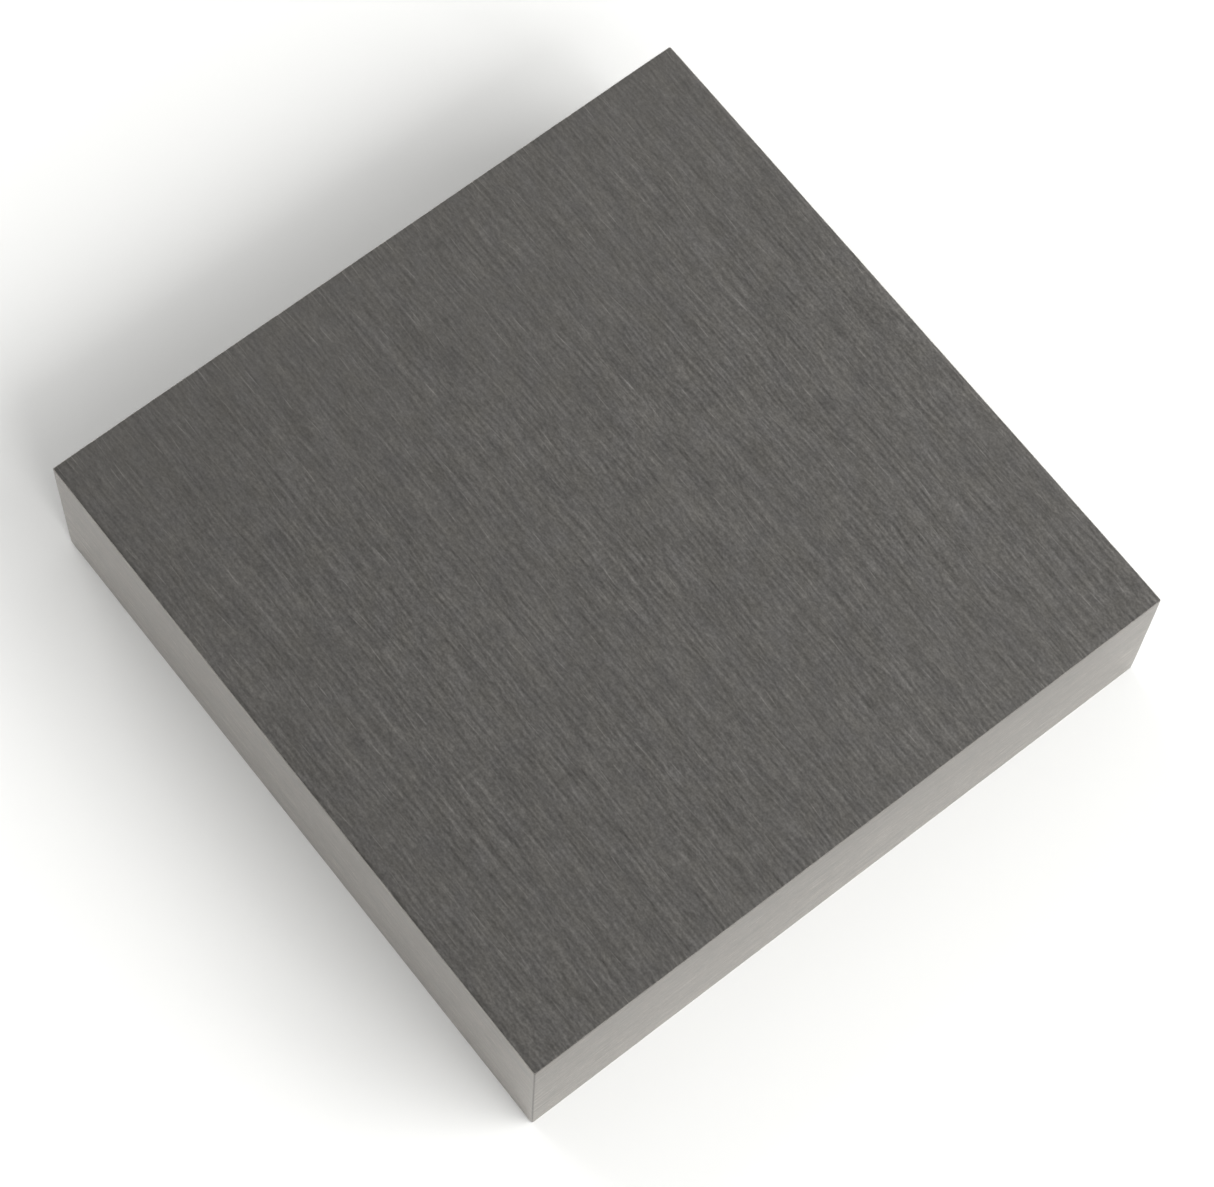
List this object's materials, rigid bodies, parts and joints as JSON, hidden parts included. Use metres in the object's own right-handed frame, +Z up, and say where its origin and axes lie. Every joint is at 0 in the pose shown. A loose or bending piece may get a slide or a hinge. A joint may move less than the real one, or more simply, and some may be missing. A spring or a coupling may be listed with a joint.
{
  "type": "bench block",
  "caption": "Solid square slab of ground steel with lightly broken edges, used as a hard flat base for stamping, riveting and hammering leather.",
  "frame": {"origin": "centre of the base, on the plane it rests on", "axes": "+Z up out of the work face, through the thickness; +Y along the grinding grain of the work face; +X across the grain, along the sides that are a hair longer"},
  "size_m": [0.1016, 0.101, 0.025],
  "materials": {
    "ground_steel": "surface-ground steel, fine straight grain along Y on the work face"
  },
  "bodies": {
    "root": {"steel_slab": "ground_steel"}
  },
  "joints": []
}
